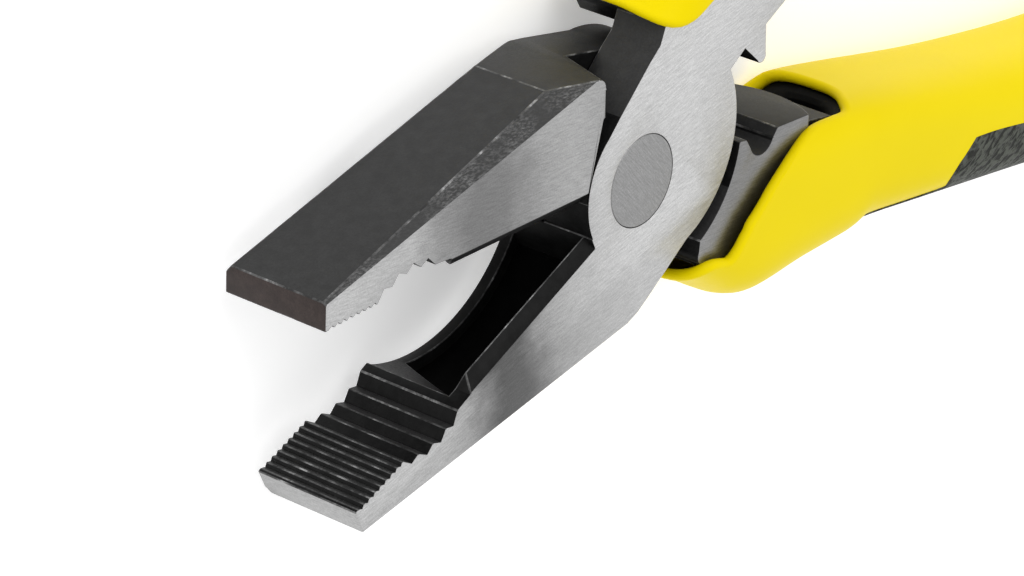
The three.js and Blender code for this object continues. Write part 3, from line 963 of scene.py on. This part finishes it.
def grained_rubber(name):
    """Dark soft plastic with a leather-like grain: flat pebbles between short slanting creases."""
    n = Nodes(name)
    strokes = n.noise(n.coords(scale=(0.55, 1.5, 1.2), rotation=(0, 0, -20)), 1.15, 1.5, 0.45)
    pebbles = n.noise(n.coords(scale=(0.8, 1.2, 1.0), rotation=(0, 0, 10)), 1.3, 2.0, 0.5)
    creases = n.mix(
        1.0,
        n.ramp(strokes, [(0.4, grey(0.0)), (0.49, grey(1.0))]),
        n.ramp(pebbles, [(0.34, grey(0.35)), (0.5, grey(1.0))]),
        "MULTIPLY",
    )
    fine = n.ramp(n.noise(n.coords(), 3.0, 3.0), [(0.3, grey(0.8)), (0.7, grey(1.15))])
    tone = n.mix(creases, (0.008, 0.009, 0.006), (0.066, 0.072, 0.058))
    n.link(n.mix(1.0, tone, fine, "MULTIPLY"), n.shader.inputs["Base Color"])
    n.shader.inputs["Roughness"].default_value = 0.55
    n.shader.inputs["Specular IOR Level"].default_value = 0.2
    n.link(n.bump(creases, 0.9, 0.0003), n.shader.inputs["Normal"])
    return n.material


def plain_rubber(name):
    """Smooth, nearly black soft plastic."""
    n = Nodes(name)
    fine = n.noise(n.coords(), 6.0, 3.0)
    n.link(n.ramp(fine, [(0.3, grey(0.003)), (0.7, grey(0.007))]), n.shader.inputs["Base Color"])
    n.shader.inputs["Roughness"].default_value = 0.6
    n.shader.inputs["Specular IOR Level"].default_value = 0.15
    n.link(n.bump(fine, 0.2, 0.00003), n.shader.inputs["Normal"])
    return n.material


# The jaws' two ground faces carry a painted reflection band in their tones.
plate_steel = ground_steel("ground_steel_front", PLATE_TONES_AND_REFLECTION, 0, 0.34)
block_steel = ground_steel("ground_steel_back", BLOCK_TONES_AND_REFLECTION, -16, 0.36)
tip_steel = ground_steel("ground_steel_tip", even_tone(0.38), 0, 0.36)
rivet_steel = ground_steel("rivet_steel", even_tone(0.31), -60, 0.4)
black = oxide_steel("black_steel", 0.004, 0.009, 0.4, gloss=0.1)
# The outer sides' steel is lighter than the black steel: painted light.
back_skin_painted_lit = oxide_steel("dull_steel_painted_lit", 0.020, 0.027, 0.5, gloss=0.22)
# The pocket's steel is darker than the black steel: painted shade in the recess.
pocket_painted_shade = oxide_steel("pocket_steel_painted_shade", 0.001, 0.002, 0.7, gloss=0.02)
brown_tip = oxide_steel("brown_tip", 0.022, 0.034, 0.5, gloss=0.2, tint=(1.2, 0.86, 0.78))
# Rubbed edges: partly real wear, partly painted edge highlights.
worn_and_highlit = worn_and_highlit_steel("worn_and_highlit_edges")
yellow = moulded_yellow("yellow_plastic")
leather = grained_rubber("grained_rubber")
liner_rubber = plain_rubber("dark_liner")

# ---------- assembly ----------


def settle(obj, turn, materials, smooth_angle=28):
    """Gives a drawn piece its place in the part's frame, its materials and its shading."""
    obj.data.transform(Matrix.Scale(MM, 4) @ turn)
    if turn.determinant() < 0:
        obj.data.flip_normals()
    for material in materials:
        obj.data.materials.append(material)
    obj.data.shade_smooth()
    obj.data.set_sharp_from_angle(angle=math.radians(smooth_angle))
    obj.data.update()


half_turn = JAW_OPENING / 2
raised = Matrix.Translation((0, 0, HALF_THICKNESS))
front_turn = raised @ Matrix.Rotation(math.radians(half_turn), 4, "Z")
back_turn = raised @ Matrix.Rotation(math.radians(-half_turn), 4, "Z") @ Matrix.Rotation(math.pi, 4, "X")


def steel_materials(bright, direction, tip):
    """One half's materials, in the order of the finishes."""
    slope = scraped_steel(bright.name + "_slope", direction)
    return [bright, black, back_skin_painted_lit, slope, pocket_painted_shade, tip, worn_and_highlit]


front_steels = steel_materials(plate_steel, half_turn + SCRAPE_TURN, tip_steel)
back_steels = steel_materials(block_steel, -half_turn - SCRAPE_TURN, brown_tip)
front_half = steel_half("front_half_steel", tooth_edge(), 1)
back_half = steel_half("back_half_steel", nest_edge(), -1)
pieces = [
    (front_half, front_turn, front_steels, "front", "front_half", "half_steel"),
    (back_half, back_turn, back_steels, "back", "back_half", "half_steel"),
    (rivet("pivot_rivet_steel"), raised, [rivet_steel], "back", "pivot_rivet", "rivet_steel"),
]
for side, turn in (("front", front_turn), ("back", back_turn)):
    shell, core = grip_shell(side + "_grip_yellow"), grip_core(side + "_grip_dark")
    pieces.append((shell, turn, [yellow], side, side + "_grip_shell", "grip_plastic"))
    pieces.append((core, turn, [liner_rubber, leather], side, side + "_grip_core", "grip_rubber"))

for obj, turn, materials, body, node, slot in pieces:
    settle(obj, turn, materials)
    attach(obj, body)
    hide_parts(node)

# ---------- floor, light and camera ----------

floor_z = cad_box[0][2] - (PANEL_PROUD + 0.05) * MM
floor_mesh = bpy.data.meshes.new("floor")
corners = [(-1, -1), (1, -1), (1, 1), (-1, 1)]
floor_mesh.from_pydata([(x * FLOOR_REACH, y * FLOOR_REACH, floor_z) for x, y in corners], [], [(0, 1, 2, 3)])
floor = bpy.data.objects.new("floor", floor_mesh)
bpy.context.scene.collection.objects.link(floor)
paper = Nodes("floor_paper")
paper.link(
    paper.ramp(paper.noise(paper.coords(), 0.02, 2.0), [(0.3, grey(0.93)), (0.7, grey(0.95))]),
    paper.shader.inputs["Base Color"],
)
paper.shader.inputs["Roughness"].default_value = 0.9
paper.shader.inputs["Specular IOR Level"].default_value = 0.0
paper.shader.inputs["Emission Color"].default_value = (1.0, 1.0, 1.0, 1.0)
paper.shader.inputs["Emission Strength"].default_value = FLOOR_GLOW
floor_mesh.materials.append(paper.material)

world = bpy.data.worlds.new("studio")
bpy.context.scene.world = world
world.use_nodes = True
world.node_tree.nodes["Background"].inputs["Color"].default_value = (1.0, 1.0, 1.0, 1.0)
world.node_tree.nodes["Background"].inputs["Strength"].default_value = 1.0


def softbox(name, place, power):
    """Round soft light aimed at the joint."""
    light = bpy.data.lights.new(name, "AREA")
    light.shape = "DISK"
    light.size = SOFTBOX_SIZE
    light.energy = power
    obj = bpy.data.objects.new(name, light)
    obj.location = place
    obj.rotation_mode = "QUATERNION"
    obj.rotation_quaternion = (Vector((0, 0, 0.01)) - Vector(place)).to_track_quat("-Z", "Y")
    bpy.context.scene.collection.objects.link(obj)


softbox("key", KEY_PLACE, KEY_POWER)
softbox("fill", FILL_PLACE, FILL_POWER)

camera_data = bpy.data.cameras.new("camera")
camera_data.lens = CAMERA_LENS
camera_data.sensor_width = CAMERA_SENSOR
camera_data.clip_start = 0.01
camera_data.clip_end = 20.0
camera = bpy.data.objects.new("camera", camera_data)
right, up = Vector(CAMERA_RIGHT), Vector(CAMERA_UP)
turned = Matrix((right, up, right.cross(up))).transposed().to_4x4()
camera.matrix_world = Matrix.Translation(CAMERA_PLACE) @ turned
bpy.context.scene.collection.objects.link(camera)
bpy.context.scene.camera = camera

bpy.context.scene.view_settings.view_transform = "Standard"
